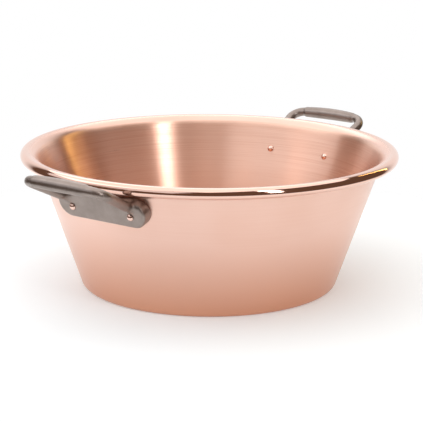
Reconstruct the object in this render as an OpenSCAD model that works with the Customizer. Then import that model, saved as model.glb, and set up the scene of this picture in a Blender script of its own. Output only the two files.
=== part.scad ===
// Copper jam pan: a flared copper bowl with a wired rolled rim and two
// cast bronze loop handles, each held on by two copper rivets.
// The origin is the middle of the flat base, on the surface it stands on.
// The handles are on the X axis.

/* [Bowl] */
// Diameter over the rolled rim
rim_d = 380; // [320:1:440]
// Diameter of the flat part of the base
base_d = 250; // [210:1:270]
// Height from the base to the top of the rim
pan_h = 139; // [110:1:170]
// Thickness of the copper sheet
sheet = 1.5; // [1:0.1:2.5]
// Outside radius of the corner between base and wall
corner_r = 6; // [4:0.5:12]
// Radius of the flare from wall to rim, on the inside of the pan
flare_r = 13.5; // [9:0.5:18]

/* [Rim wire] */
// Diameter of the steel wire inside the rolled rim
wire_d = 7.5; // [4:0.5:9]
// Clearance round the wire
wire_gap = 0.05; // [0.02:0.01:0.3]

/* [Handle plate] */
// Length of the riveted plate
plate_l = 104; // [90:1:130]
// Height of the plate along the wall
plate_w = 29; // [24:0.5:34]
// Thickness of the plate at its middle
plate_t = 4; // [3:0.1:7]
// Bevel round the front of the plate
plate_bevel = 1.2; // [0.5:0.1:2]
// How far the plate's middle is below the top of the rim
plate_drop = 30.5; // [26:0.5:60]

/* [Handle loop] */
// How far the grip's centre line stands out from the plate's front
loop_reach = 51; // [35:1:70]
// How far the grip's centre line is above the arm roots
loop_rise = 25; // [5:1:40]
// Distance between the arms where they leave the plate
root_span = 76; // [60:1:84]
// Distance between the corners of the loop
loop_span = 92; // [80:1:110]
// Bend radius of the loop's corners
loop_bend_r = 14; // [8:1:20]
// How far the middle of the grip bows outward
grip_bow = 3.5; // [1:0.5:8]
// Diameter of the arms and of the ends of the grip
arm_d = 9.6; // [7:0.1:12]
// Diameter of the grip at its middle
grip_d = 12.8; // [10:0.1:15]
// Height of the arm roots above the plate's middle, along the wall
root_up = 5.5; // [0:0.5:8]

/* [Rivets] */
// Distance between the two rivets of a handle
rivet_span = 70; // [56:1:78]
// How far the rivets sit below the plate's middle, along the wall
rivet_drop = 3; // [0:0.5:6]
// Diameter of a rivet's shank
shank_d = 4.5; // [3:0.1:6]
// Diameter of a rivet's head
head_d = 7.2; // [6.5:0.1:9]
// Height of a rivet's head
head_h = 2.2; // [1.5:0.1:3.5]
// Clearance round a shank in its hole
hole_gap = 0.1; // [0.05:0.01:0.3]
// Clearance between faces that are pulled together
seat_gap = 0.05; // [0.02:0.01:0.1]

/* [Hidden] */
$fn = 128;

// The roll: its centre in the pan's section and its outside radius
roll_r = wire_d / 2 + wire_gap + sheet;
roll_x = rim_d / 2 - roll_r;
roll_z = pan_h - roll_r;

// The wall is the straight line that touches the base corner on its outside
// and the underside of the flare on its inside
flare_z = pan_h - flare_r;
under_r = flare_r - sheet;
corner_x = base_d / 2;
centres = norm([roll_x - corner_x, flare_z - corner_r]);
lean = atan2(roll_x - corner_x, flare_z - corner_r)
     - asin((under_r + corner_r) / centres);
foot = [corner_x + corner_r * cos(lean), corner_r - corner_r * sin(lean)];
brow = [roll_x - under_r * cos(lean), flare_z + under_r * sin(lean)];

// Radius of the wall's outside at height z
function wall_x(z) = foot[0] + (z - foot[1]) * tan(lean);

// The rolled edge closes against the wall along a line that touches the roll
tuck_z = roll_z - roll_r - sheet;
tuck = [wall_x(tuck_z), tuck_z];
tuck_run = [roll_x, roll_z] - tuck;
tuck_angle = atan2(tuck_run[1], tuck_run[0]) - asin(roll_r / norm(tuck_run));
tuck_l = sqrt(pow(norm(tuck_run), 2) - pow(roll_r, 2));

// A point on the wall's outside at the plate's middle
plate_z = pan_h - plate_drop;
seat = [wall_x(plate_z), 0, plate_z];
// The front of the plate stands this far off where it meets the arms
root_z = plate_z + root_up * cos(lean);
root_x = wall_x(root_z) + plate_t / cos(lean);
loop_tilt = atan2(loop_rise, loop_reach);
loop_out = norm([loop_reach, loop_rise]);
arm_r = arm_d / 2;
grip_r = grip_d / 2;
// Overlap where two stretches of a piece meet
lap = 0.2;
// Facets round the loop's bar, and steps along each of its stretches
bar_sides = 24;
bend_steps = 8;
grip_steps = 16;
cap_steps = 4;

// Sheet between the roll's outside and the wire
module roll_ring() {
    difference() {
        circle(r = roll_r);
        circle(r = roll_r - sheet);
    }
}

// The flare's share of its ring: from straight up round to the wall
module flare_wedge() {
    polygon([[0, 0], [0, 3 * flare_r],
             [-3 * flare_r, 3 * flare_r],
             [-3 * flare_r * cos(lean), 3 * flare_r * sin(lean)]]);
}

// The corner's share of its ring: from straight down round to the wall
module corner_wedge() {
    polygon([[0, 0], [0, -3 * corner_r],
             [3 * corner_r, -3 * corner_r],
             [3 * corner_r * cos(lean), -3 * corner_r * sin(lean)]]);
}

// Half section of the bowl, in the plane that is turned about Z
module bowl_section() {
    inward = sheet * [-cos(lean), sin(lean)];
    along = lap * [sin(lean), cos(lean)];
    low = foot - along;
    high = brow + along;
    // base
    square([corner_x + lap, sheet]);
    // corner between base and wall
    translate([corner_x, corner_r]) intersection() {
        difference() {
            circle(r = corner_r);
            circle(r = corner_r - sheet);
        }
        corner_wedge();
    }
    // wall
    polygon([low, high, high + inward, low + inward]);
    // flare
    translate([roll_x, flare_z]) intersection() {
        difference() {
            circle(r = flare_r);
            circle(r = under_r);
        }
        flare_wedge();
    }
    // roll, open only where the flare runs into it
    translate([roll_x, roll_z]) difference() {
        roll_ring();
        translate([-lap, 0]) rotate(90) square([roll_r, roll_r]);
        rotate(180) polygon([[0, 0], [2 * roll_r, 0],
                             2 * roll_r * [cos(90 + tuck_angle), sin(90 + tuck_angle)]]);
    }
    // tucked edge, from the roll back to the wall
    translate(tuck) rotate(tuck_angle) square([tuck_l + lap, sheet]);
}

module bowl() {
    color("#dc9a7c") difference() {
        rotate_extrude() bowl_section();
        rivet_holes();
        mirror([1, 0, 0]) rivet_holes();
    }
}

module rim_wire() {
    color("#8d9196") translate([0, 0, roll_z])
        rotate_extrude() translate([roll_x, 0]) circle(d = wire_d);
}

// Puts children on the wall at the right-hand plate's middle:
// X out of the plate, Z up the wall
module on_wall() {
    translate(seat) rotate([0, lean, 0]) children();
}

// The wall's outside as a solid cone, grown by a clearance
module wall_cone(gap) {
    low = plate_z - plate_w;
    high = roll_z;
    translate([0, 0, low])
        cylinder(h = high - low, r1 = wall_x(low) + gap, r2 = wall_x(high) + gap);
}

module obround(length, width) {
    translate([0, (length - width) / 2]) circle(d = width);
    translate([0, (width - length) / 2]) circle(d = width);
    square([width, length - width], center = true);
}

// The plate's bevel: cones at its ends and a sloped bar between them,
// each with a thin slice behind it that overlaps the rest of the plate
module bevel_ring() {
    straight = plate_l - plate_w;
    half = plate_w / 2;
    edge = [[half, -lap], [half, 0], [half - plate_bevel, plate_bevel]];
    for (side = [-1, 1]) translate([0, side * straight / 2, 0]) rotate([0, 90, 0])
        rotate_extrude() polygon(concat([[0, -lap]], edge, [[0, plate_bevel]]));
    translate([0, straight / 2, 0]) rotate([90, 0, 0]) linear_extrude(straight)
        polygon([[edge[0][1], edge[0][0]], [edge[1][1], edge[1][0]],
                 [edge[2][1], edge[2][0]],
                 [edge[2][1], -edge[2][0]], [edge[1][1], -edge[1][0]],
                 [edge[0][1], -edge[0][0]]]);
}

// The plate's front is flat, and its back fits the wall
module plate() {
    // deeper than the wall falls away behind the plate's ends
    depth = pow(plate_l, 2) / (4 * wall_x(plate_z - plate_w / 2));
    difference() {
        on_wall() {
            translate([-depth, 0, 0]) rotate([0, 90, 0])
                linear_extrude(depth + plate_t - plate_bevel) obround(plate_l, plate_w);
            translate([plate_t - plate_bevel, 0, 0]) bevel_ring();
        }
        wall_cone(seat_gap);
        rivet_holes();
    }
}

// The loop's line, in its own plane: out from the plate, and along the rim
corner = [loop_out, loop_span / 2];
arm_way = (corner - [0, root_span / 2]) / norm(corner - [0, root_span / 2]);
grip_half = loop_span / 2;
grip_arc_r = (pow(grip_half, 2) + pow(grip_bow, 2)) / (2 * grip_bow);
grip_mid = [loop_out + grip_bow - grip_arc_r, 0];
grip_end_angle = asin(grip_half / grip_arc_r);
grip_way = [sin(grip_end_angle), -cos(grip_end_angle)];
turn = acos(arm_way * grip_way);
bend_back = loop_bend_r * tan(turn / 2);
bend_start = corner - bend_back * arm_way;
bend_centre = bend_start + loop_bend_r * [arm_way[1], -arm_way[0]];
bend_angle = atan2(arm_way[1], arm_way[0]) + 90;
grip_first = grip_end_angle - bend_back / grip_arc_r * 180 / PI;

// The bar swells from its ends to its middle
function bar_r(v) = grip_r - (grip_r - arm_r) * min(1, pow(v / grip_half, 2));

// One half of the line, as [point, way, radius]: the root's round end, arm, corner and grip
half_line = concat(
    [for (i = [1 : cap_steps]) let (a = 90 * i / cap_steps)
        [[0, root_span / 2] - arm_r * cos(a) * arm_way, arm_way, arm_r * sin(a)]],
    [for (i = [0 : bend_steps]) let (a = bend_angle - turn * i / bend_steps)
        [bend_centre + loop_bend_r * [cos(a), sin(a)], [sin(a), -cos(a)], arm_r]],
    [for (i = [1 : grip_steps]) let (a = grip_first * (1 - i / grip_steps))
        [grip_mid + grip_arc_r * [cos(a), sin(a)], [sin(a), -cos(a)],
         bar_r(grip_arc_r * sin(a))]]);
last = len(half_line) - 1;
loop_line = concat(half_line,
    [for (i = [1 : last]) let (s = half_line[last - i])
        [[s[0][0], -s[0][1]], [-s[1][0], s[1][1]], s[2]]]);

// The loop is one swept bar with round ends that sit inside the plate
module loop() {
    rings = [for (s = loop_line) [for (k = [0 : bar_sides - 1])
        let (a = 360 * k / bar_sides, side = s[2] * cos(a))
        [s[0][0] - s[1][1] * side, s[0][1] + s[1][0] * side, s[2] * sin(a)]]];
    count = len(rings);
    tip_a = loop_line[0][0] - arm_r * (1 - cos(90 / cap_steps)) * arm_way;
    tips = [[tip_a[0], tip_a[1], 0], [tip_a[0], -tip_a[1], 0]];
    points = concat([for (r = rings) for (p = r) p], tips);
    skin = [for (i = [0 : count - 2]) for (k = [0 : bar_sides - 1])
        let (n = (k + 1) % bar_sides, low = i * bar_sides, high = low + bar_sides)
        each [[low + k, high + k, high + n], [low + k, high + n, low + n]]];
    first_tip = count * bar_sides;
    end_low = (count - 1) * bar_sides;
    caps = [for (k = [0 : bar_sides - 1]) let (n = (k + 1) % bar_sides)
        each [[first_tip, k, n], [first_tip + 1, end_low + n, end_low + k]]];
    translate([root_x, 0, root_z]) rotate([0, -loop_tilt, 0])
        polyhedron(points = points, faces = concat(skin, caps));
}

module right_handle() {
    color("#7d7069") {
        plate();
        loop();
    }
}

module left_handle() {
    mirror([1, 0, 0]) right_handle();
}

// A point on the plate's middle plane, where a rivet goes through it
function rivet_at(side) = [0, side * rivet_span / 2, -rivet_drop];

module rivet_holes() {
    for (side = [-1, 1]) on_wall() translate(rivet_at(side))
        translate([-wall_x(0) / 2, 0, 0]) rotate([0, 90, 0])
            cylinder(h = wall_x(0) / 2 + 2 * plate_t, d = shank_d + 2 * hole_gap);
}

// A rivet's domed head, its flat side at the origin and its top along X
module head() {
    dome_r = (pow(head_d / 2, 2) + pow(head_h, 2)) / (2 * head_h);
    rotate([0, 90, 0]) intersection() {
        translate([0, 0, head_h - dome_r]) sphere(r = dome_r);
        cylinder(h = head_h, d = head_d);
    }
}

// Radius of the wall's inside at height z
function inside_x(z) = wall_x(z) - sheet / cos(lean);

// Where a rivet's line meets the inside of the wall
rivet_z = plate_z - rivet_drop * cos(lean);
fall_away = inside_x(rivet_z) - sqrt(pow(inside_x(rivet_z), 2) - pow(rivet_span / 2, 2));
shank_depth = sheet + fall_away * cos(lean);
inner_z = rivet_z + shank_depth * sin(lean);
inner_turn = asin(rivet_span / 2 / inside_x(inner_z));

module rivet(side) {
    color("#d98f70") {
        // head on the plate's front, and the shank
        on_wall() translate(rivet_at(side)) {
            translate([plate_t + seat_gap, 0, 0]) head();
            translate([-shank_depth - head_h / 2, 0, 0]) rotate([0, 90, 0])
                cylinder(h = shank_depth + plate_t + seat_gap + head_h, d = shank_d);
        }
        // head on the inside of the wall
        rotate([0, 0, side * inner_turn]) translate([inside_x(inner_z), 0, inner_z])
            rotate([0, lean + 180, 0]) translate([seat_gap, 0, 0]) head();
    }
}

module right_rivet_front() { rivet(-1); }
module right_rivet_back() { rivet(1); }
module left_rivet_front() { mirror([1, 0, 0]) rivet(-1); }
module left_rivet_back() { mirror([1, 0, 0]) rivet(1); }

bowl();
rim_wire();
left_handle();
right_handle();
left_rivet_front();
left_rivet_back();
right_rivet_front();
right_rivet_back();
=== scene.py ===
"""The copper jam pan's finished looks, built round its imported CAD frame.

Each operator in the sidebar's Jam pan tab makes one piece, or one group of
like pieces, from the sizes and colours in the scene's settings. Lengths are
metres, and the origin is the middle of the flat base.
"""

import math
from collections import namedtuple

import bmesh
import bpy
from bpy.props import FloatProperty, FloatVectorProperty, IntProperty, PointerProperty
from mathutils import Matrix, Vector


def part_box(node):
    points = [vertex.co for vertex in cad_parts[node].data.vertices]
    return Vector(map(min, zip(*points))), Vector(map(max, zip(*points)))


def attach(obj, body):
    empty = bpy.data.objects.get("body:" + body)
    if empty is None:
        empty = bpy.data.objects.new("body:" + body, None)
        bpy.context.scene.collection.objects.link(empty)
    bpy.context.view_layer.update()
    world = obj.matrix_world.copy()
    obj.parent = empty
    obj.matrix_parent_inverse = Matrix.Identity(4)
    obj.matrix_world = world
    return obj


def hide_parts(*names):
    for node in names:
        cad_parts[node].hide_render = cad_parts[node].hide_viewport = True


bl_info = {
    "name": "Copper jam pan",
    "version": (1, 0, 0),
    "blender": (4, 5, 0),
    "location": "View3D > Sidebar > Jam pan",
    "description": "Makes a copper jam pan's finished pieces and a studio to show them in",
    "category": "Add Mesh",
}

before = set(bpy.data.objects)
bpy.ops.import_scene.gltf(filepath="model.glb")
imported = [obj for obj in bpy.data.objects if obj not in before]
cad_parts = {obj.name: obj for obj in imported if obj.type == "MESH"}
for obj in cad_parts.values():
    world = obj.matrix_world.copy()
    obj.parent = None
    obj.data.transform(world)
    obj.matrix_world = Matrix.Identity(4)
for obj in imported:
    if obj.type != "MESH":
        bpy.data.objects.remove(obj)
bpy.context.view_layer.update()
BOWL_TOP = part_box("bowl")[1]
QUARTER = math.pi / 2
SAME_PLACE = 1e-6
SHORTEST_RUN = 1e-7
RAIL_RADIUS = 0.1

Softbox = namedtuple("Softbox", "name turn rise distance width height radiance colour")


class PanSizes(bpy.types.PropertyGroup):
    """Sizes of the copper bowl."""

    rim_radius: FloatProperty(
        name="Rim radius",
        description="From the axis to the outside of the rolled rim",
        default=BOWL_TOP.x,
        unit="LENGTH",
    )
    height: FloatProperty(
        name="Height",
        description="From the base to the top of the rim",
        default=BOWL_TOP.z,
        unit="LENGTH",
    )
    base_radius: FloatProperty(
        name="Base radius",
        description="Radius of the flat part of the base",
        default=0.125,
        unit="LENGTH",
    )
    sheet: FloatProperty(
        name="Sheet",
        description="Thickness of the copper sheet",
        default=0.0015,
        precision=4,
        unit="LENGTH",
    )
    corner_radius: FloatProperty(
        name="Corner radius",
        description="Outside radius of the corner between base and wall",
        default=0.006,
        precision=4,
        unit="LENGTH",
    )
    flare_radius: FloatProperty(
        name="Flare radius",
        description="Radius of the flare from wall to rim, on the inside of the pan",
        default=0.0135,
        precision=4,
        unit="LENGTH",
    )
    wire_room: FloatProperty(
        name="Wire room",
        description="Radius of the space that the rim wire lies in",
        default=0.0038,
        precision=4,
        unit="LENGTH",
    )
    steps_round: IntProperty(
        name="Steps round",
        description="Facets round the bowl",
        default=360,
        min=48,
    )
    run_step: FloatProperty(
        name="Run step",
        description="Longest facet along a straight part of the section",
        default=0.004,
        precision=4,
        unit="LENGTH",
    )
    arc_step: FloatProperty(
        name="Arc step",
        description="Angle of each facet along a curved part of the section",
        default=math.radians(6),
        unit="ROTATION",
    )


class RivetSizes(bpy.types.PropertyGroup):
    """Sizes of the rivets, and where they go through the handle plates."""

    head_radius: FloatProperty(
        name="Head radius",
        description="Radius of a rivet's domed head",
        default=0.0036,
        precision=4,
        unit="LENGTH",
    )
    head_height: FloatProperty(
        name="Head height",
        description="Height of a rivet's domed head",
        default=0.0022,
        precision=4,
        unit="LENGTH",
    )
    shank_radius: FloatProperty(
        name="Shank radius",
        description="Radius of a rivet's shank",
        default=0.00225,
        precision=5,
        unit="LENGTH",
    )
    half_span: FloatProperty(
        name="Half span",
        description="From the handle's middle to a rivet, along the plate",
        default=0.035,
        precision=4,
        unit="LENGTH",
    )
    plate_height: FloatProperty(
        name="Plate height",
        description="Height of the plate's middle above the base",
        default=BOWL_TOP.z - 0.0305,
        unit="LENGTH",
    )
    plate_front: FloatProperty(
        name="Plate front",
        description="From the wall to the flat side of a head on the plate",
        default=0.00405,
        precision=5,
        unit="LENGTH",
    )
    drop: FloatProperty(
        name="Drop",
        description="How far a rivet sits below the plate's middle, along the wall",
        default=0.003,
        precision=4,
        unit="LENGTH",
    )
    seat_gap: FloatProperty(
        name="Seat gap",
        description="Clearance between the wall and a head inside the pan",
        default=0.00005,
        precision=5,
        unit="LENGTH",
    )
    steps_round: IntProperty(
        name="Steps round",
        description="Facets round a rivet",
        default=32,
        min=8,
    )
    dome_steps: IntProperty(
        name="Dome steps",
        description="Facets from a head's edge to its top",
        default=10,
        min=2,
    )


class CastingSizes(bpy.types.PropertyGroup):
    """How the cast handles are rounded off."""

    grain: FloatProperty(
        name="Grain",
        description="Size of the facets that a handle is remeshed with",
        default=0.0007,
        precision=4,
        unit="LENGTH",
    )
    edge_rounds: IntProperty(
        name="Edge rounds",
        description="Smoothing rounds over the whole handle",
        default=3,
        min=0,
    )
    fillet_rounds: IntProperty(
        name="Fillet rounds",
        description="Smoothing rounds where the arms meet the plate",
        default=60,
        min=0,
    )
    fillet_reach: FloatProperty(
        name="Fillet reach",
        description="How far from an arm's root the fillet goes",
        default=0.0105,
        precision=4,
        unit="LENGTH",
    )
    full_fillet: FloatProperty(
        name="Full fillet",
        description="Share of the fillet's reach over which it is at full strength",
        default=0.75,
        min=0.0,
        max=1.0,
    )
    root_half_span: FloatProperty(
        name="Root half span",
        description="From the handle's middle to an arm's root, along the plate",
        default=0.038,
        precision=4,
        unit="LENGTH",
    )
    root_rise: FloatProperty(
        name="Root rise",
        description="How far the arms' roots sit above the plate's middle, along the wall",
        default=0.0055,
        precision=4,
        unit="LENGTH",
    )


class Finishes(bpy.types.PropertyGroup):
    """Colours and finishes of the metals."""

    copper: FloatVectorProperty(
        name="Copper",
        description="Colour of the bowl's bare copper",
        default=(0.90, 0.615, 0.52),
        subtype="COLOR",
    )
    # Partly painted light: this inside colour is a deeper copper than the outside's, standing in
    # for light bounced round inside the pan
    brushed: FloatVectorProperty(
        name="Brushed copper",
        description="Colour of the brushed copper inside the pan",
        default=(0.93, 0.625, 0.50),
        subtype="COLOR",
    )
    # Used both for the dulled copper in the clouds and brush marks and for the painted shade at
    # the foot of the wall
    tarnish: FloatVectorProperty(
        name="Tarnish",
        description="Colour of the copper where it has dulled",
        default=(0.68, 0.32, 0.19),
        subtype="COLOR",
    )
    bronze: FloatVectorProperty(
        name="Bronze",
        description="Colour of the cast handles",
        default=(0.37, 0.31, 0.28),
        subtype="COLOR",
    )
    rivet: FloatVectorProperty(
        name="Rivet",
        description="Colour of the copper rivets",
        default=(0.93, 0.66, 0.56),
        subtype="COLOR",
    )
    steel: FloatVectorProperty(
        name="Steel",
        description="Colour of the wire inside the rim",
        default=(0.50, 0.51, 0.53),
        subtype="COLOR",
    )
    outer_roughness: FloatProperty(
        name="Outer roughness",
        description="Roughness of the copper on the outside of the pan",
        default=0.30,
    )
    inner_roughness: FloatProperty(
        name="Inner roughness",
        description="Roughness of the brushed copper inside the pan",
        default=0.34,
    )
    rim_roughness: FloatProperty(
        name="Rim roughness",
        description="Roughness of the copper round the rim",
        default=0.07,
    )
    rivet_roughness: FloatProperty(
        name="Rivet roughness",
        description="Roughness of the rivets",
        default=0.16,
    )
    steel_roughness: FloatProperty(
        name="Steel roughness",
        description="Roughness of the wire inside the rim",
        default=0.3,
    )
    mark_fineness: FloatProperty(
        name="Mark fineness",
        description="How much finer the brush marks are across than along",
        default=130.0,
    )
    marks_in_roughness: FloatProperty(
        name="Marks in roughness",
        description="How far the brush marks change the roughness",
        default=0.28,
    )
    marks_in_colour: FloatProperty(
        name="Marks in colour",
        description="How far the brush marks change the colour",
        default=1.6,
    )
    clouding: FloatProperty(
        name="Clouding",
        description="Most tarnish in the faint clouds on the copper",
        default=0.22,
    )
    # Painted shade: the copper is darkened and warmed towards the foot of the outside wall,
    # standing in for the shadowed floor near the base that the lower wall reflects; it fades out
    # at the foot height.
    foot_shade: FloatProperty(
        name="Foot tarnish",
        description="Tarnish at the very foot of the wall, as if from the hob",
        default=0.85,
    )
    foot_height: FloatProperty(
        name="Foot height",
        description="Height at which the tarnish at the foot has faded out",
        default=0.09,
        unit="LENGTH",
    )


class StageSettings(bpy.types.PropertyGroup):
    """The camera and the studio round the pan."""

    turn: FloatProperty(
        name="Turn",
        description="Camera's turn round the pan",
        default=math.radians(-53.5),
        unit="ROTATION",
    )
    rise: FloatProperty(
        name="Rise",
        description="Camera's angle above the horizon",
        default=math.radians(13.93),
        unit="ROTATION",
    )
    roll: FloatProperty(
        name="Roll",
        description="Camera's roll round its own line of sight",
        default=math.radians(0.35),
        unit="ROTATION",
    )
    distance: FloatProperty(
        name="Distance",
        description="From the camera to the pan's middle",
        default=1.6,
        unit="LENGTH",
    )
    aside: FloatProperty(
        name="Aside",
        description="How far the camera stands to the right of the pan's middle",
        default=0.0023,
        precision=4,
        unit="LENGTH",
    )
    above: FloatProperty(
        name="Above",
        description="How far the camera stands above the line through the origin",
        default=0.0698,
        precision=4,
        unit="LENGTH",
    )
    lens: FloatProperty(
        name="Lens",
        description="Focal length in millimetres on a 36 mm sensor",
        default=132.1,
    )
    floor_colour: FloatVectorProperty(
        name="Floor",
        description="Colour of the floor",
        default=(0.84, 0.89, 0.91),
        subtype="COLOR",
    )
    floor_radius: FloatProperty(
        name="Floor radius",
        description="Where the floor ends",
        default=0.48,
        unit="LENGTH",
    )
    fade_radius: FloatProperty(
        name="Fade radius",
        description="Where the floor begins to fade into the backdrop",
        default=0.36,
        unit="LENGTH",
    )
    backdrop_start: FloatProperty(
        name="Backdrop start",
        description="Cosine of the angle from the camera's line at which the backdrop begins",
        default=0.62,
    )
    backdrop_full: FloatProperty(
        name="Backdrop full",
        description="Cosine of the angle from the camera's line at which it is at full light",
        default=0.85,
    )
    floor_lift: FloatVectorProperty(
        name="Floor lift",
        description="Added to the floor where it is seen, so that it meets a white backdrop",
        default=(0.25, 0.25, 0.25),
        subtype="COLOR",
    )
    backdrop_light: FloatVectorProperty(
        name="Backdrop light",
        description="Light that the backdrop gives to matt surfaces",
        default=(0.90, 0.97, 1.0),
        subtype="COLOR",
    )
    dark_light: FloatVectorProperty(
        name="Dark light",
        description="Light from the rest of the room, which is dim",
        default=(0.13, 0.08, 0.055),
        subtype="COLOR",
    )


SENSOR_WIDTH = 36
FLOOR_SIDES = 96
FADED_SHARE = 0.95
WHITE = (1.0, 1.0, 1.0)
COOL = (0.93, 1.0, 1.06)
AMBER = (1.0, 0.72, 0.25)

# As the pan sees them: turn is degrees to the camera's right, rise degrees up, radiance 1 white
SOFTBOXES = (
    Softbox("overhead_box", -130, 81, 1.4, 2.8, 2.8, 1.25, WHITE),
    Softbox("left_box", -63, 32, 1.6, 3.0, 1.1, 0.82, COOL),
    Softbox("right_strip", 37, 28, 1.6, 0.21, 1.3, 6.5, WHITE),
    Softbox("warm_strip", 124, 24, 1.6, 0.07, 1.0, 6.5, AMBER),
)


class Section:
    """The bowl's half section: points are (radius, height)."""

    def __init__(self, sizes):
        self.sizes = sizes
        self.roll_radius = sizes.wire_room + sizes.sheet
        under_radius = sizes.flare_radius - sizes.sheet
        self.roll = Vector((sizes.rim_radius, sizes.height)) - Vector((1, 1)) * self.roll_radius
        self.flare = Vector((self.roll.x, sizes.height - sizes.flare_radius))
        self.corner = Vector((sizes.base_radius, sizes.corner_radius))
        span = self.flare - self.corner
        touch = math.asin((under_radius + sizes.corner_radius) / span.length)
        self.lean = math.atan2(span.x, span.y) - touch
        self.up_wall = Vector((math.sin(self.lean), math.cos(self.lean)))
        self.out_of_wall = Vector((math.cos(self.lean), -math.sin(self.lean)))
        self.foot = self.corner + sizes.corner_radius * self.out_of_wall
        tuck_height = self.roll.y - self.roll_radius - sizes.sheet
        self.tuck = Vector((self.outside(tuck_height), tuck_height))
        run = self.roll - self.tuck
        self.tuck_angle = math.atan2(run.y, run.x) - math.asin(self.roll_radius / run.length)

    def outside(self, height):
        """Radius of the wall's outside at a height."""
        return self.foot.x + (height - self.foot.y) * math.tan(self.lean)

    def inside(self, height):
        """Radius of the wall's inside at a height."""
        return self.outside(height) - self.sizes.sheet / math.cos(self.lean)

    def rim_share(self, point):
        """1 on the rolled rim, falling to 0 on the flare inside it."""
        start = self.roll.x - self.roll_radius
        return min(1.0, max(0.0, (point.x - start) / self.roll_radius))

    def inner_share(self, point):
        """1 on the inside of the pan, 0 on the outside."""
        middle = self.outside(point.y) - self.sizes.sheet / 2
        return float(point.y > self.sizes.sheet / 2 and point.x < middle)

    def arc(self, centre, radius, start, end):
        """Points along an arc, both ends included."""
        count = max(1, math.ceil(abs(end - start) / self.sizes.arc_step))
        angles = [start + (end - start) * i / count for i in range(count + 1)]
        return [centre + radius * Vector((math.cos(a), math.sin(a))) for a in angles]

    def skin(self):
        """The sheet's outline: base, wall, roll, flare, and back down inside."""
        sizes = self.sizes
        wall_turn = math.pi - self.lean
        points = [Vector((0, 0))]
        points += self.arc(self.corner, sizes.corner_radius, -QUARTER, -self.lean)
        points += [self.tuck]
        points += self.arc(self.roll, self.roll_radius, self.tuck_angle - QUARTER, QUARTER)
        points += self.arc(self.flare, sizes.flare_radius, QUARTER, wall_turn)
        inner_corner = sizes.corner_radius - sizes.sheet
        points += self.arc(self.corner, inner_corner, -self.lean, -QUARTER)
        points += [Vector((0, sizes.sheet))]
        return spread(points, sizes.run_step)

    def wire_space(self):
        """The hollow that the rim wire lies in, the other way round."""
        sizes = self.sizes
        along = Vector((math.cos(self.tuck_angle), math.sin(self.tuck_angle)))
        lid = self.tuck + sizes.sheet * Vector((-along.y, along.x))
        # where the tucked edge's upper side meets the wall's outside
        gap = self.foot - lid
        along_wall = gap.x * self.up_wall.y - gap.y * self.up_wall.x
        across = along.x * self.up_wall.y - along.y * self.up_wall.x
        pocket = lid + along * (along_wall / across)
        under_radius = sizes.flare_radius - sizes.sheet
        points = [pocket]
        points += self.arc(self.roll, sizes.wire_room, self.tuck_angle - QUARTER, QUARTER)
        points += self.arc(self.flare, under_radius, QUARTER, math.pi - self.lean)
        points += [pocket]
        return spread(points, sizes.run_step)[::-1]


def spread(points, step):
    """The same line, with points added where they are further apart than step."""
    line = [points[0]]
    for end in points[1:]:
        start = line[-1]
        gap = (end - start).length
        if gap < SHORTEST_RUN:
            continue
        count = math.ceil(gap / step)
        line += [start.lerp(end, i / count) for i in range(1, count + 1)]
    return line


def add_node(tree, kind, settings=None, **inputs):
    """A new node with its settings and its unlinked inputs filled in."""
    node = tree.nodes.new(kind)
    for name, value in (settings or {}).items():
        setattr(node, name, value)
    for name, value in inputs.items():
        socket = node.inputs[name.replace("_", " ")]
        if isinstance(value, bpy.types.NodeSocket):
            tree.links.new(value, socket)
        else:
            socket.default_value = value
    return node


def maths(tree, operation, first, second=0.0, third=0.0):
    """The result of a maths node on sockets or plain numbers."""
    node = tree.nodes.new("ShaderNodeMath")
    node.operation = operation
    for socket, value in zip(node.inputs, (first, second, third)):
        if isinstance(value, bpy.types.NodeSocket):
            tree.links.new(value, socket)
        else:
            socket.default_value = value
    return node.outputs[0]


def new_tree(name, inputs):
    """A geometry tree with a Geometry input and output, and more inputs by name."""
    tree = bpy.data.node_groups.new(name, "GeometryNodeTree")
    tree.interface.new_socket("Geometry", in_out="INPUT", socket_type="NodeSocketGeometry")
    tree.interface.new_socket("Geometry", in_out="OUTPUT", socket_type="NodeSocketGeometry")
    for label, kind in inputs:
        tree.interface.new_socket(label, in_out="INPUT", socket_type=kind)
    return tree, tree.nodes.new("NodeGroupInput").outputs


def close_tree(tree, geometry, finish):
    """Ends a tree: real geometry in one material."""
    real = add_node(tree, "GeometryNodeRealizeInstances", Geometry=geometry)
    painted = add_node(tree, "GeometryNodeSetMaterial", Geometry=real.outputs[0], Material=finish)
    end = tree.nodes.new("NodeGroupOutput")
    tree.links.new(painted.outputs[0], end.inputs[0])


def bake(obj, tree, values):
    """Runs a tree on an object and keeps the result as the object's plain mesh."""
    modifier = obj.modifiers.new(tree.name, "NODES")
    modifier.node_group = tree
    for item in tree.interface.items_tree:
        if item.in_out == "INPUT" and item.name in values:
            modifier[item.identifier] = values[item.name]
    keep_result(obj)


def keep_result(obj):
    """Replaces an object's mesh and modifiers by the mesh that they make."""
    bpy.context.view_layer.update()
    graph = bpy.context.evaluated_depsgraph_get()
    mesh = bpy.data.meshes.new_from_object(obj.evaluated_get(graph))
    obj.modifiers.clear()
    obj.data = mesh
    mesh.name = obj.name


def new_object(name, mesh):
    """A mesh object in the scene, at the origin."""
    obj = bpy.data.objects.new(name, mesh)
    bpy.context.scene.collection.objects.link(obj)
    return obj


def section_mesh(name, outlines, layers):
    """Outlines as edges: X is the radius and Y the height, with a value for each layer."""
    mesh = bpy.data.meshes.new(name)
    points = [point for outline in outlines for point in outline]
    edges = []
    first = 0
    for outline in outlines:
        edges += [(first + i, first + i + 1) for i in range(len(outline) - 1)]
        first += len(outline)
    mesh.from_pydata([(p.x, p.y, 0) for p in points], edges, [])
    for layer, rule in layers.items():
        values = mesh.attributes.new(layer, "FLOAT", "POINT")
        values.data.foreach_set("value", [rule(p) for p in points])
    return mesh


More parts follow.
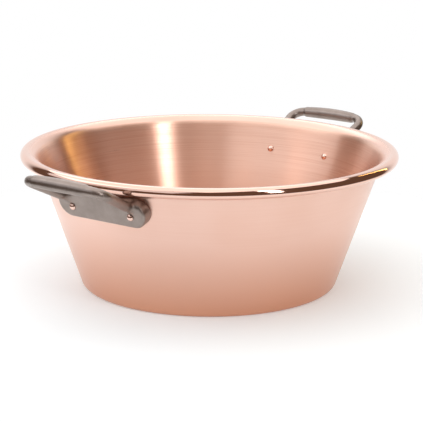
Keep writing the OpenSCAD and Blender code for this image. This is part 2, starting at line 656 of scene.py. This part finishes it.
def lathe_tree():
    """Turns a section, given as edges, round the Z axis."""
    tree, given = new_tree(
        "Lathe",
        (
            ("Steps round", "NodeSocketInt"),
            ("Rail radius", "NodeSocketFloat"),
            ("Finish", "NodeSocketMaterial"),
        ),
    )
    line = add_node(tree, "GeometryNodeMeshToCurve", Mesh=given["Geometry"])
    inward = maths(tree, "MULTIPLY", given["Rail radius"], -1.0)
    offset = add_node(tree, "ShaderNodeCombineXYZ", X=inward)
    # a profile's Y points down a rail that runs round the Z axis this way
    section = add_node(
        tree,
        "GeometryNodeTransform",
        Geometry=line.outputs[0],
        Translation=offset.outputs[0],
        Scale=(1, -1, 1),
    )
    rail = add_node(
        tree,
        "GeometryNodeCurvePrimitiveCircle",
        Resolution=given["Steps round"],
        Radius=given["Rail radius"],
    )
    skin = add_node(
        tree,
        "GeometryNodeCurveToMesh",
        Curve=rail.outputs[0],
        Profile_Curve=section.outputs[0],
    )
    welded = add_node(
        tree, "GeometryNodeMergeByDistance", Geometry=skin.outputs[0], Distance=SAME_PLACE
    )
    # the mirrored section turns the faces inward
    outward = add_node(tree, "GeometryNodeFlipFaces", Mesh=welded.outputs[0])
    smooth = add_node(tree, "GeometryNodeSetShadeSmooth", Geometry=outward.outputs[0])
    close_tree(tree, smooth.outputs[0], given["Finish"])
    return tree


def lathe(name, outlines, steps, finish, layers):
    """An object turned from outlines."""
    obj = new_object(name, section_mesh(name, outlines, layers))
    tree = bpy.data.node_groups.get("Lathe") or lathe_tree()
    bake(obj, tree, {"Steps round": steps, "Rail radius": RAIL_RADIUS, "Finish": finish})
    return obj


def casting_tree():
    """Rounds a casting's edges, and fills the corners round two roots with fillets."""
    tree, given = new_tree(
        "Casting",
        (
            ("Edge rounds", "NodeSocketInt"),
            ("Fillet rounds", "NodeSocketInt"),
            ("Fillet reach", "NodeSocketFloat"),
            ("Full fillet", "NodeSocketFloat"),
            ("Front root", "NodeSocketVector"),
            ("Back root", "NodeSocketVector"),
            ("Finish", "NodeSocketMaterial"),
        ),
    )
    place = tree.nodes.new("GeometryNodeInputPosition").outputs[0]
    vector = {"data_type": "FLOAT_VECTOR"}
    evened = add_node(
        tree, "GeometryNodeBlurAttribute", vector, Iterations=given["Edge rounds"]
    )
    tree.links.new(place, evened.inputs["Value"])
    rounded = add_node(
        tree, "GeometryNodeSetPosition", Geometry=given["Geometry"], Position=evened.outputs[0]
    )
    distances = []
    for root in ("Front root", "Back root"):
        gap = tree.nodes.new("ShaderNodeVectorMath")
        gap.operation = "DISTANCE"
        tree.links.new(place, gap.inputs[0])
        tree.links.new(given[root], gap.inputs[1])
        distances.append(gap.outputs["Value"])
    nearest = maths(tree, "MINIMUM", *distances)
    inner_reach = maths(tree, "MULTIPLY", given["Fillet reach"], given["Full fillet"])
    share = add_node(
        tree,
        "ShaderNodeMapRange",
        {"interpolation_type": "SMOOTHSTEP"},
        Value=nearest,
        From_Min=inner_reach,
        From_Max=given["Fillet reach"],
        To_Min=1.0,
        To_Max=0.0,
    )
    filled = add_node(
        tree,
        "GeometryNodeBlurAttribute",
        vector,
        Iterations=given["Fillet rounds"],
        Weight=share.outputs[0],
    )
    tree.links.new(place, filled.inputs["Value"])
    filleted = add_node(
        tree, "GeometryNodeSetPosition", Geometry=rounded.outputs[0], Position=filled.outputs[0]
    )
    smooth = add_node(tree, "GeometryNodeSetShadeSmooth", Geometry=filleted.outputs[0])
    close_tree(tree, smooth.outputs[0], given["Finish"])
    return tree


def rivet_tree():
    """Puts a rivet on each outer point and a plain head on each inner point."""
    tree, given = new_tree(
        "Rivets",
        (
            ("Rivet", "NodeSocketObject"),
            ("Head", "NodeSocketObject"),
            ("Finish", "NodeSocketMaterial"),
        ),
    )
    facing = add_node(
        tree, "GeometryNodeInputNamedAttribute", {"data_type": "FLOAT_VECTOR"}, Name="facing"
    )
    inner = add_node(
        tree, "GeometryNodeInputNamedAttribute", {"data_type": "BOOLEAN"}, Name="inner"
    )
    outer = add_node(
        tree, "FunctionNodeBooleanMath", {"operation": "NOT"}, Boolean=inner.outputs[0]
    )
    turned = add_node(
        tree, "FunctionNodeAlignRotationToVector", {"axis": "Z"}, Vector=facing.outputs[0]
    )
    joined = tree.nodes.new("GeometryNodeJoinGeometry")
    for part, chosen in (("Rivet", outer.outputs[0]), ("Head", inner.outputs[0])):
        shape = add_node(tree, "GeometryNodeObjectInfo", Object=given[part])
        placed = add_node(
            tree,
            "GeometryNodeInstanceOnPoints",
            Points=given["Geometry"],
            Selection=chosen,
            Instance=shape.outputs["Geometry"],
            Rotation=turned.outputs[0],
        )
        tree.links.new(placed.outputs[0], joined.inputs[0])
    close_tree(tree, joined.outputs[0], given["Finish"])
    return tree


def new_material(name):
    """A material with an empty tree but its shader and its output."""
    material = bpy.data.materials.new(name)
    material.use_nodes = True
    tree = material.node_tree
    tree.nodes.clear()
    shader = tree.nodes.new("ShaderNodeBsdfPrincipled")
    end = tree.nodes.new("ShaderNodeOutputMaterial")
    tree.links.new(shader.outputs[0], end.inputs["Surface"])
    shader.inputs["Metallic"].default_value = 1.0
    return material, tree, shader


def noise(tree, vector, scale, detail=3.0):
    """A noise texture's value on a vector."""
    node = add_node(
        tree, "ShaderNodeTexNoise", Vector=vector, Scale=scale, Detail=detail, Roughness=0.6
    )
    return node.outputs["Fac"]


def between(tree, value, low, high, start=0.3, end=0.7):
    """Spreads a value that runs from start to end over the range from low to high."""
    node = add_node(
        tree,
        "ShaderNodeMapRange",
        Value=value,
        From_Min=start,
        From_Max=end,
        To_Min=low,
        To_Max=high,
    )
    return node.outputs[0]


def mix_colours(tree, share, first, second):
    """A mix of two colours by a share."""
    node = tree.nodes.new("ShaderNodeMix")
    node.data_type = "RGBA"
    tree.links.new(share, node.inputs["Factor"])
    # the node has an A and a B for each type of data, and these are the colours
    for socket, value in ((node.inputs[6], first), (node.inputs[7], second)):
        if isinstance(value, bpy.types.NodeSocket):
            tree.links.new(value, socket)
        else:
            socket.default_value = (*value, 1)
    return node.outputs[2]


# Scales are features per metre, and the ranges run from the outside of the pan to the inside
MARK_SCALE = 10.0
CLOUD_SCALE = 9.0
MARK_DEPTHS = (0.15, 1.0)
STROKE_STRENGTHS = (0.45, 0.97)
STROKE_TURN = 0.25
BUMP_STRENGTH = 0.08
BUMP_HEIGHT = 0.0001


def brushed_copper(finishes):
    """Copper with fine brush marks running round the pan, smoother round the rim."""
    material, tree, shader = new_material("brushed_copper")
    place = tree.nodes.new("ShaderNodeTexCoord").outputs["Object"]
    parts = add_node(tree, "ShaderNodeSeparateXYZ", Vector=place).outputs
    flat = add_node(tree, "ShaderNodeCombineXYZ", X=parts["X"], Y=parts["Y"]).outputs[0]
    reach = tree.nodes.new("ShaderNodeVectorMath")
    reach.operation = "LENGTH"
    tree.links.new(flat, reach.inputs[0])
    rim = add_node(tree, "ShaderNodeAttribute", {"attribute_name": "rim"}).outputs["Fac"]
    inner = add_node(tree, "ShaderNodeAttribute", {"attribute_name": "inner"}).outputs["Fac"]
    satin = maths(tree, "SUBTRACT", 1.0, rim)
    # brush marks are long round the pan and fine across it
    across = maths(tree, "ADD", reach.outputs["Value"], parts["Z"])
    fine = maths(tree, "MULTIPLY", across, finishes.mark_fineness)
    grain = add_node(tree, "ShaderNodeCombineXYZ", X=parts["X"], Y=parts["Y"], Z=fine).outputs[0]
    marks = noise(tree, grain, MARK_SCALE, detail=5.0)
    clouds = noise(tree, place, CLOUD_SCALE, detail=2.0)
    depth = maths(tree, "MULTIPLY", satin, between(tree, inner, *MARK_DEPTHS, 0.0, 1.0))
    centred = maths(tree, "SUBTRACT", marks, 0.5)
    wavering = maths(tree, "MULTIPLY", centred, depth)
    outside = finishes.outer_roughness
    even = between(tree, inner, outside, finishes.inner_roughness, 0.0, 1.0)
    rough = maths(tree, "MULTIPLY_ADD", wavering, finishes.marks_in_roughness, even)
    smoother = maths(tree, "SUBTRACT", finishes.rim_roughness, rough)
    polished = maths(tree, "MULTIPLY_ADD", rim, smoother, rough)
    tree.links.new(polished, shader.inputs["Roughness"])
    dull = between(tree, clouds, 0.0, finishes.clouding)
    dulled = maths(tree, "MULTIPLY_ADD", wavering, finishes.marks_in_colour, dull)
    # painted shade: darker, warmer copper towards the foot of the wall, standing in for the
    # reflected shadow of the floor by the base
    low = between(tree, parts["Z"], finishes.foot_shade, 0.0, 0.0, finishes.foot_height)
    dull_and_foot_shade = maths(tree, "MAXIMUM", dulled, low)
    # the inside's deeper copper is partly painted warmth of light bounced round inside the pan
    sheet = mix_colours(tree, inner, finishes.copper, finishes.brushed)
    # the tarnish colour paints both the faint clouds and brush marks and the painted shade at the
    # foot
    colour = mix_colours(tree, dull_and_foot_shade, sheet, finishes.tarnish)
    tree.links.new(colour, shader.inputs["Base Color"])
    strokes = between(tree, inner, *STROKE_STRENGTHS, 0.0, 1.0)
    tree.links.new(maths(tree, "MULTIPLY", satin, strokes), shader.inputs["Anisotropic"])
    shader.inputs["Anisotropic Rotation"].default_value = STROKE_TURN
    round_axis = add_node(tree, "ShaderNodeTangent", {"direction_type": "RADIAL", "axis": "Z"})
    tree.links.new(round_axis.outputs[0], shader.inputs["Tangent"])
    strength = maths(tree, "MULTIPLY", depth, BUMP_STRENGTH)
    bump = add_node(
        tree, "ShaderNodeBump", Height=marks, Strength=strength, Distance=BUMP_HEIGHT
    )
    tree.links.new(bump.outputs[0], shader.inputs["Normal"])
    return material


BLOTCH_SCALE = 60.0
BLOTCH_SHADE = 0.78
PIT_SCALE = 900.0
PIT_STRENGTH = 0.12
PIT_DEPTH = 0.0002
BRONZE_ROUGHNESS = (0.33, 0.45)


def cast_bronze(finishes):
    """Satin bronze, faintly mottled like a casting that has been rubbed down."""
    material, tree, shader = new_material("cast_bronze")
    place = tree.nodes.new("ShaderNodeTexCoord").outputs["Object"]
    blotches = noise(tree, place, BLOTCH_SCALE)
    pits = noise(tree, place, PIT_SCALE, detail=2.0)
    darker = [BLOTCH_SHADE * part for part in finishes.bronze]
    colour = mix_colours(tree, between(tree, blotches, 0.0, 1.0), finishes.bronze, darker)
    tree.links.new(colour, shader.inputs["Base Color"])
    tree.links.new(between(tree, pits, *BRONZE_ROUGHNESS), shader.inputs["Roughness"])
    bump = add_node(
        tree, "ShaderNodeBump", Height=pits, Strength=PIT_STRENGTH, Distance=PIT_DEPTH
    )
    tree.links.new(bump.outputs[0], shader.inputs["Normal"])
    return material


LEAST_WEAR = -0.04
MOST_WEAR = 0.05


def plain_metal(name, colour, roughness, scale):
    """A metal whose roughness wavers a little round the one given."""
    material, tree, shader = new_material(name)
    shader.inputs["Base Color"].default_value = (*colour, 1)
    place = tree.nodes.new("ShaderNodeTexCoord").outputs["Object"]
    wear = noise(tree, place, scale)
    rough = between(tree, wear, roughness + LEAST_WEAR, roughness + MOST_WEAR)
    tree.links.new(rough, shader.inputs["Roughness"])
    return material


class JAMPAN_OT_bowl(bpy.types.Operator):
    """Turn the copper bowl: base, wall, flare and rolled rim in one sheet"""

    bl_idname = "jampan.bowl"
    bl_label = "Make the bowl"

    def execute(self, context):
        sizes = context.scene.jampan_sizes
        section = Section(sizes)
        outlines = (section.skin(), section.wire_space())
        finish = brushed_copper(context.scene.jampan_finishes)
        layers = {"rim": section.rim_share, "inner": section.inner_share}
        bowl = lathe("copper_bowl", outlines, sizes.steps_round, finish, layers)
        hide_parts("bowl")
        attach(bowl, "root")
        return {"FINISHED"}


class JAMPAN_OT_rim_wire(bpy.types.Operator):
    """Finish the steel wire inside the rolled rim"""

    bl_idname = "jampan.rim_wire"
    bl_label = "Finish the rim wire"

    def execute(self, context):
        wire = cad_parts["rim_wire"]
        finishes = context.scene.jampan_finishes
        steel = plain_metal("rim_steel", finishes.steel, finishes.steel_roughness, scale=300.0)
        wire.data.materials.clear()
        wire.data.materials.append(steel)
        return {"FINISHED"}


class JAMPAN_OT_handles(bpy.types.Operator):
    """Cast the two handles: rounded edges, and fillets at the arms' roots"""

    bl_idname = "jampan.handles"
    bl_label = "Make the handles"

    def execute(self, context):
        bronze = cast_bronze(context.scene.jampan_finishes)
        tree = casting_tree()
        for node, side in (("left_handle", -1), ("right_handle", 1)):
            self.cast(context.scene, node, side, tree, bronze)
        return {"FINISHED"}

    def cast(self, scene, node, side, tree, finish):
        """One handle, remeshed evenly from its CAD solid and then rounded."""
        sizes = scene.jampan_casting
        work = bmesh.new()
        work.from_mesh(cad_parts[node].data)
        bmesh.ops.remove_doubles(work, verts=work.verts, dist=SAME_PLACE)
        mesh = bpy.data.meshes.new(node + "_casting")
        work.to_mesh(mesh)
        work.free()
        mesh.materials.clear()
        casting = new_object(node + "_casting", mesh)
        remesh = casting.modifiers.new("Remesh", "REMESH")
        remesh.mode = "VOXEL"
        remesh.voxel_size = sizes.grain
        keep_result(casting)
        section = Section(scene.jampan_sizes)
        rivets = scene.jampan_rivets
        height = rivets.plate_height + sizes.root_rise * math.cos(section.lean)
        radius = section.outside(height) + rivets.plate_front / math.cos(section.lean)
        values = {
            "Edge rounds": sizes.edge_rounds,
            "Fillet rounds": sizes.fillet_rounds,
            "Fillet reach": sizes.fillet_reach,
            "Full fillet": sizes.full_fillet,
            "Front root": (side * radius, -sizes.root_half_span, height),
            "Back root": (side * radius, sizes.root_half_span, height),
            "Finish": finish,
        }
        bake(casting, tree, values)
        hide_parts(node)
        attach(casting, "root")


class JAMPAN_OT_rivets(bpy.types.Operator):
    """Set the four rivets, each with a domed head on the plate and one inside"""

    bl_idname = "jampan.rivets"
    bl_label = "Make the rivets"

    def execute(self, context):
        scene = context.scene
        sizes = scene.jampan_rivets
        finishes = scene.jampan_finishes
        finish = plain_metal(
            "rivet_copper", finishes.rivet, finishes.rivet_roughness, scale=500.0
        )
        places, depth = self.places(sizes, Section(scene.jampan_sizes))
        rivet = self.turned("rivet", sizes, depth, finish)
        head = self.turned("head", sizes, 0, finish)
        mesh = bpy.data.meshes.new("rivets")
        mesh.from_pydata([place for place, facing, inner in places], [], [])
        facings = mesh.attributes.new("facing", "FLOAT_VECTOR", "POINT")
        facings.data.foreach_set("vector", [v for place in places for v in place[1]])
        inners = mesh.attributes.new("inner", "BOOLEAN", "POINT")
        inners.data.foreach_set("value", [place[2] for place in places])
        rivets = new_object("rivets", mesh)
        bake(rivets, rivet_tree(), {"Rivet": rivet, "Head": head, "Finish": finish})
        bpy.data.objects.remove(rivet)
        bpy.data.objects.remove(head)
        nodes = [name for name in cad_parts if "rivet" in name]
        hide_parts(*nodes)
        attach(rivets, "root")
        return {"FINISHED"}

    def places(self, sizes, section):
        """Each head's place, the way it faces and whether it is inside, and the shank's depth."""
        lean = section.lean
        height = sizes.plate_height - sizes.drop * math.cos(lean)
        inside = section.inside(height)
        fall_away = inside - math.sqrt(inside**2 - sizes.half_span**2)
        depth = section.sizes.sheet + fall_away * math.cos(lean)
        out = Vector((math.cos(lean), 0, -math.sin(lean)))
        inner_height = height + depth * math.sin(lean)
        inner_radius = section.inside(inner_height)
        turn = math.asin(sizes.half_span / inner_radius)
        places = []
        for side in (0, math.pi):
            for way in (-1, 1):
                whole = Matrix.Rotation(side, 3, "Z")
                outer = Vector((section.outside(height), way * sizes.half_span, height))
                places.append((whole @ (outer + sizes.plate_front * out), whole @ out, False))
                local = Matrix.Rotation(side + way * turn, 3, "Z")
                inner = Vector((inner_radius, 0, inner_height)) - sizes.seat_gap * out
                places.append((local @ inner, local @ -out, True))
        return places, depth + sizes.plate_front

    def turned(self, name, sizes, depth, finish):
        """A domed head, on a shank where it has a depth."""
        dome = (sizes.head_radius**2 + sizes.head_height**2) / (2 * sizes.head_height)
        half = math.asin(sizes.head_radius / dome)
        centre = Vector((0, sizes.head_height - dome))
        steps = sizes.dome_steps
        angles = [QUARTER - half + half * i / steps for i in range(steps + 1)]
        outline = [Vector((0, -depth))]
        if depth:
            outline += [Vector((sizes.shank_radius, -depth)), Vector((sizes.shank_radius, 0))]
        outline += [centre + dome * Vector((math.cos(a), math.sin(a))) for a in angles]
        return lathe(name, (outline,), sizes.steps_round, finish, {})


class JAMPAN_OT_stage(bpy.types.Operator):
    """Set up the floor, the backdrop, the soft lights and the camera"""

    bl_idname = "jampan.stage"
    bl_label = "Set the stage"

    def execute(self, context):
        scene = context.scene
        stage = scene.jampan_stage
        self.camera(scene, stage)
        self.floor(stage)
        self.room(scene, stage)
        for box in SOFTBOXES:
            self.softbox(box, stage)
        scene.view_settings.view_transform = "Standard"
        return {"FINISHED"}

    def camera(self, scene, stage):
        """The camera, at the photograph's angle."""
        right = Vector((math.cos(stage.turn), math.sin(stage.turn), 0))
        back = towards(stage.turn, stage.rise)
        up = back.cross(right)
        place = back * stage.distance + right * stage.aside + up * stage.above
        side = math.cos(stage.roll) * right + math.sin(stage.roll) * up
        top = math.cos(stage.roll) * up - math.sin(stage.roll) * right
        data = bpy.data.cameras.new("camera")
        data.lens = stage.lens
        data.sensor_width = SENSOR_WIDTH
        camera = bpy.data.objects.new("camera", data)
        scene.collection.objects.link(camera)
        turned = Matrix((side, top, back)).transposed().to_4x4()
        camera.matrix_world = Matrix.Translation(place) @ turned
        scene.camera = camera

    def floor(self, stage):
        """A pale round floor that fades into the backdrop."""
        bpy.ops.mesh.primitive_circle_add(
            vertices=FLOOR_SIDES, radius=stage.floor_radius, fill_type="NGON"
        )
        floor = bpy.context.object
        floor.name = "floor"
        material = bpy.data.materials.new("floor")
        material.use_nodes = True
        tree = material.node_tree
        tree.nodes.clear()
        place = tree.nodes.new("ShaderNodeTexCoord").outputs["Object"]
        reach = tree.nodes.new("ShaderNodeVectorMath")
        reach.operation = "LENGTH"
        tree.links.new(place, reach.inputs[0])
        faded = FADED_SHARE * stage.floor_radius
        far = between(tree, reach.outputs["Value"], 0.0, 1.0, stage.fade_radius, faded)
        matt = add_node(tree, "ShaderNodeBsdfDiffuse", Color=(*stage.floor_colour, 1))
        straight, reflected = sight(tree)
        seen = maths(tree, "MAXIMUM", straight, reflected)
        lift = add_node(
            tree, "ShaderNodeEmission", Color=(*stage.floor_lift, 1), Strength=seen
        )
        lifted = tree.nodes.new("ShaderNodeAddShader")
        tree.links.new(matt.outputs[0], lifted.inputs[0])
        tree.links.new(lift.outputs[0], lifted.inputs[1])
        clear = tree.nodes.new("ShaderNodeBsdfTransparent")
        mixed = tree.nodes.new("ShaderNodeMixShader")
        tree.links.new(far, mixed.inputs[0])
        tree.links.new(lifted.outputs[0], mixed.inputs[1])
        tree.links.new(clear.outputs[0], mixed.inputs[2])
        end = tree.nodes.new("ShaderNodeOutputMaterial")
        tree.links.new(mixed.outputs[0], end.inputs["Surface"])
        floor.data.materials.append(material)

    def room(self, scene, stage):
        """A white backdrop, also as metal and glass show it, in a dim room."""
        world = bpy.data.worlds.new("room")
        world.use_nodes = True
        tree = world.node_tree
        tree.nodes.clear()
        straight, reflected = sight(tree)
        way = tree.nodes.new("ShaderNodeTexCoord").outputs["Generated"]
        away = tree.nodes.new("ShaderNodeVectorMath")
        away.operation = "DOT_PRODUCT"
        tree.links.new(way, away.inputs[0])
        away.inputs[1].default_value = -towards(stage.turn, 0)
        edges = (stage.backdrop_start, stage.backdrop_full)
        behind = between(tree, away.outputs["Value"], 0.0, 1.0, *edges)
        around = mix_colours(tree, behind, stage.dark_light, stage.backdrop_light)
        mirrored = maths(tree, "MULTIPLY", reflected, behind)
        seen = maths(tree, "MAXIMUM", straight, mirrored)
        colour = mix_colours(tree, seen, around, WHITE)
        light = add_node(tree, "ShaderNodeBackground", Color=colour)
        end = tree.nodes.new("ShaderNodeOutputWorld")
        tree.links.new(light.outputs[0], end.inputs["Surface"])
        scene.world = world

    def softbox(self, box, stage):
        """One soft rectangular light that faces the pan."""
        data = bpy.data.lights.new(box.name, "AREA")
        data.shape = "RECTANGLE"
        data.size = box.width
        data.size_y = box.height
        data.energy = box.radiance * math.pi * box.width * box.height
        data.color = box.colour
        lamp = bpy.data.objects.new(box.name, data)
        bpy.context.scene.collection.objects.link(lamp)
        back = towards(stage.turn + math.radians(box.turn), math.radians(box.rise))
        lamp.location = back * box.distance
        lamp.rotation_mode = "QUATERNION"
        lamp.rotation_quaternion = back.to_track_quat("Z", "Y")


def sight(tree):
    """Two shares: what the camera sees straight, and what it sees in metal or glass."""
    path = tree.nodes.new("ShaderNodeLightPath").outputs
    reflected = maths(tree, "MAXIMUM", path["Is Glossy Ray"], path["Is Transmission Ray"])
    return path["Is Camera Ray"], reflected


def towards(turn, rise):
    """The direction from the pan to a viewer at a turn and a rise."""
    level = math.cos(rise)
    return Vector((math.sin(turn) * level, -math.cos(turn) * level, math.sin(rise)))


OPERATORS = (
    JAMPAN_OT_bowl,
    JAMPAN_OT_rim_wire,
    JAMPAN_OT_handles,
    JAMPAN_OT_rivets,
    JAMPAN_OT_stage,
)

GROUPS = {
    "jampan_sizes": PanSizes,
    "jampan_rivets": RivetSizes,
    "jampan_casting": CastingSizes,
    "jampan_finishes": Finishes,
    "jampan_stage": StageSettings,
}


class JAMPAN_PT_sidebar(bpy.types.Panel):
    """The jam pan's operators and settings"""

    bl_idname = "JAMPAN_PT_sidebar"
    bl_label = "Jam pan"
    bl_space_type = "VIEW_3D"
    bl_region_type = "UI"
    bl_category = "Jam pan"

    def draw(self, context):
        for operator in OPERATORS:
            self.layout.operator(operator.bl_idname)
        for group in GROUPS:
            box = self.layout.box()
            settings = getattr(context.scene, group)
            for name in settings.bl_rna.properties.keys():
                if name not in ("rna_type", "name"):
                    box.prop(settings, name)


def register():
    for group in GROUPS.values():
        bpy.utils.register_class(group)
    for kind in (*OPERATORS, JAMPAN_PT_sidebar):
        bpy.utils.register_class(kind)
    for name, group in GROUPS.items():
        setattr(bpy.types.Scene, name, PointerProperty(type=group))


def unregister():
    for name in GROUPS:
        delattr(bpy.types.Scene, name)
    for kind in (JAMPAN_PT_sidebar, *OPERATORS, *GROUPS.values()):
        bpy.utils.unregister_class(kind)


def main():
    register()
    bpy.ops.jampan.bowl()
    bpy.ops.jampan.rim_wire()
    bpy.ops.jampan.handles()
    bpy.ops.jampan.rivets()
    bpy.ops.jampan.stage()


if __name__ == "__main__":
    main()
